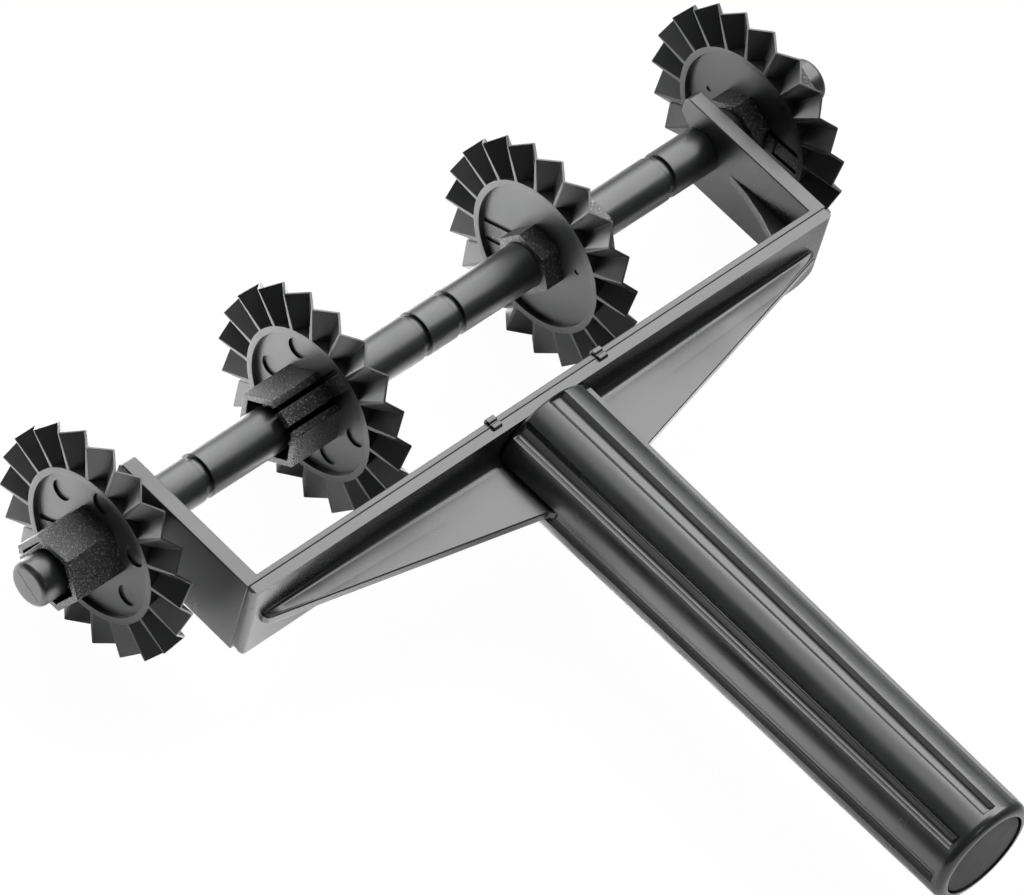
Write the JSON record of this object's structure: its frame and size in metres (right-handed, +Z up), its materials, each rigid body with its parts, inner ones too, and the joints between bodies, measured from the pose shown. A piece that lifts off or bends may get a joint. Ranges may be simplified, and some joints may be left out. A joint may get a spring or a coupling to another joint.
{
  "type": "multi-wheel dough cutter",
  "caption": "Black plastic hand dough cutter with a fluted T-handle, a fork and crimped wheels that slide on a grooved axle.",
  "frame": {"origin": "middle of the whole tool's box; the axle's axis lies 65.25 mm from it towards +Y, at z 0", "axes": "+X along the axle, towards the wheel that is farthest right in the picture; +Y away from the handle; +Z up off the fork's flat side"},
  "size_m": [0.214, 0.1805, 0.05],
  "materials": {
    "handle_plastic": "satin moulded",
    "cap_plastic": "matt moulded",
    "fork_plastic": "satin moulded",
    "axle_plastic": "satin moulded",
    "wheel_plastic": "fine moulded texture"
  },
  "bodies": {
    "holder": {"handle": "handle_plastic", "end_cap": "cap_plastic", "fork": "fork_plastic"},
    "axle": {"axle": "axle_plastic"},
    "wheel_outer_left": {"wheel_outer_left": "wheel_plastic"},
    "wheel_inner_left": {"wheel_inner_left": "wheel_plastic"},
    "wheel_inner_right": {"wheel_inner_right": "wheel_plastic"},
    "wheel_outer_right": {"wheel_outer_right": "wheel_plastic"}
  },
  "joints": [
    {"name": "axle_turn", "type": "hinge", "parent": "holder", "child": "axle", "pos_m": [0, 0.06525, 0], "axis": [1, 0, 0], "continuous": true},
    {"name": "outer_left_slide", "type": "slide", "parent": "axle", "child": "wheel_outer_left", "axis": [-1, 0, 0], "range_m": [-0.0044, 0.005]},
    {"name": "inner_left_slide", "type": "slide", "parent": "axle", "child": "wheel_inner_left", "axis": [-1, 0, 0], "range_m": [-0.025, 0.031]},
    {"name": "inner_right_slide", "type": "slide", "parent": "axle", "child": "wheel_inner_right", "axis": [1, 0, 0], "range_m": [-0.025, 0.031]},
    {"name": "outer_right_slide", "type": "slide", "parent": "axle", "child": "wheel_outer_right", "axis": [1, 0, 0], "range_m": [-0.0044, 0.005]}
  ]
}
